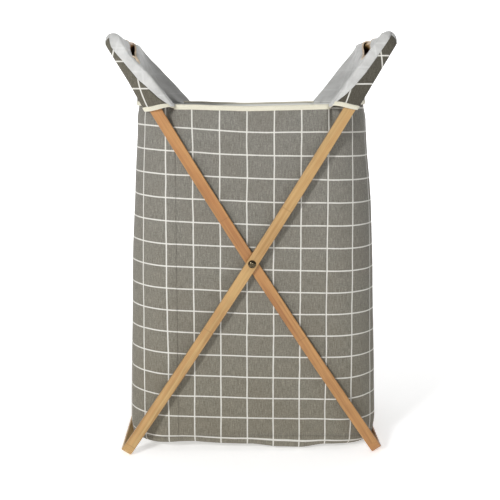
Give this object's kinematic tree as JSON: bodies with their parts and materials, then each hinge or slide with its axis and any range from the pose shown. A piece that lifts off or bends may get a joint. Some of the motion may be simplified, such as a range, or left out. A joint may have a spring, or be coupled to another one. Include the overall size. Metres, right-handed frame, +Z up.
{
  "type": "folding laundry hamper",
  "caption": "Folding X-frame laundry hamper: nested bamboo loops pinned where they cross hold an open plaid cloth bag with bound hand holes.",
  "frame": {"origin": "on the floor, midway between the feet and below the pivots", "axes": "+Z up, +X to the right, the front towards -Y; the pivots' axis runs along Y"},
  "size_m": [0.462, 0.359, 0.6921],
  "materials": {
    "pale_bamboo": "satin",
    "warm_bamboo": "satin",
    "aged_brass": "satin",
    "plaid_cloth": "matte",
    "lining": "matte",
    "cream_tape": "matte"
  },
  "bodies": {
    "pivots": {"front_pivot_post": "aged_brass", "back_pivot_post": "aged_brass", "front_pivot_screw": "aged_brass", "back_pivot_screw": "aged_brass", "front_spacer_washer": "aged_brass", "back_spacer_washer": "aged_brass"},
    "outer_loop": {"outer_loop": "pale_bamboo", "right_ear_outer": "plaid_cloth", "right_ear_facing": "lining", "right_handle_binding": "cream_tape", "right_front_ear_binding": "cream_tape", "right_back_ear_binding": "cream_tape"},
    "inner_loop": {"inner_loop": "warm_bamboo", "left_ear_outer": "plaid_cloth", "left_ear_facing": "lining", "left_handle_binding": "cream_tape", "left_front_ear_binding": "cream_tape", "left_back_ear_binding": "cream_tape"},
    "bag": {"front_panel": "plaid_cloth", "back_panel": "plaid_cloth", "left_side_panel": "plaid_cloth", "right_side_panel": "plaid_cloth", "bottom_panel": "plaid_cloth", "front_rim_binding": "cream_tape", "back_rim_binding": "cream_tape"}
  },
  "joints": [
    {"name": "outer_loop_fold", "type": "hinge", "parent": "pivots", "child": "outer_loop", "pos_m": [0, 0, 0.32416], "axis": [0, -1, 0], "range_deg": [0, 26], "deforming": ["front_panel", "back_panel", "left_side_panel", "right_side_panel", "bottom_panel", "front_rim_binding", "back_rim_binding", "right_ear_outer", "right_ear_facing", "right_handle_binding", "right_front_ear_binding", "right_back_ear_binding"]},
    {"name": "inner_loop_fold", "type": "hinge", "parent": "pivots", "child": "inner_loop", "pos_m": [0, 0, 0.32416], "axis": [0, 1, 0], "range_deg": [0, 26], "deforming": ["left_ear_outer", "left_ear_facing", "left_handle_binding", "left_front_ear_binding", "left_back_ear_binding"]},
    {"name": "bag_lift", "type": "slide", "parent": "pivots", "child": "bag", "axis": [0, 0, 1], "range_m": [0, 0.0446]}
  ],
  "couplings": [
    {"joint": "inner_loop_fold", "follows": "outer_loop_fold", "ratio": 1},
    {"joint": "bag_lift", "follows": "outer_loop_fold", "m_per_rad": 0.0981}
  ]
}
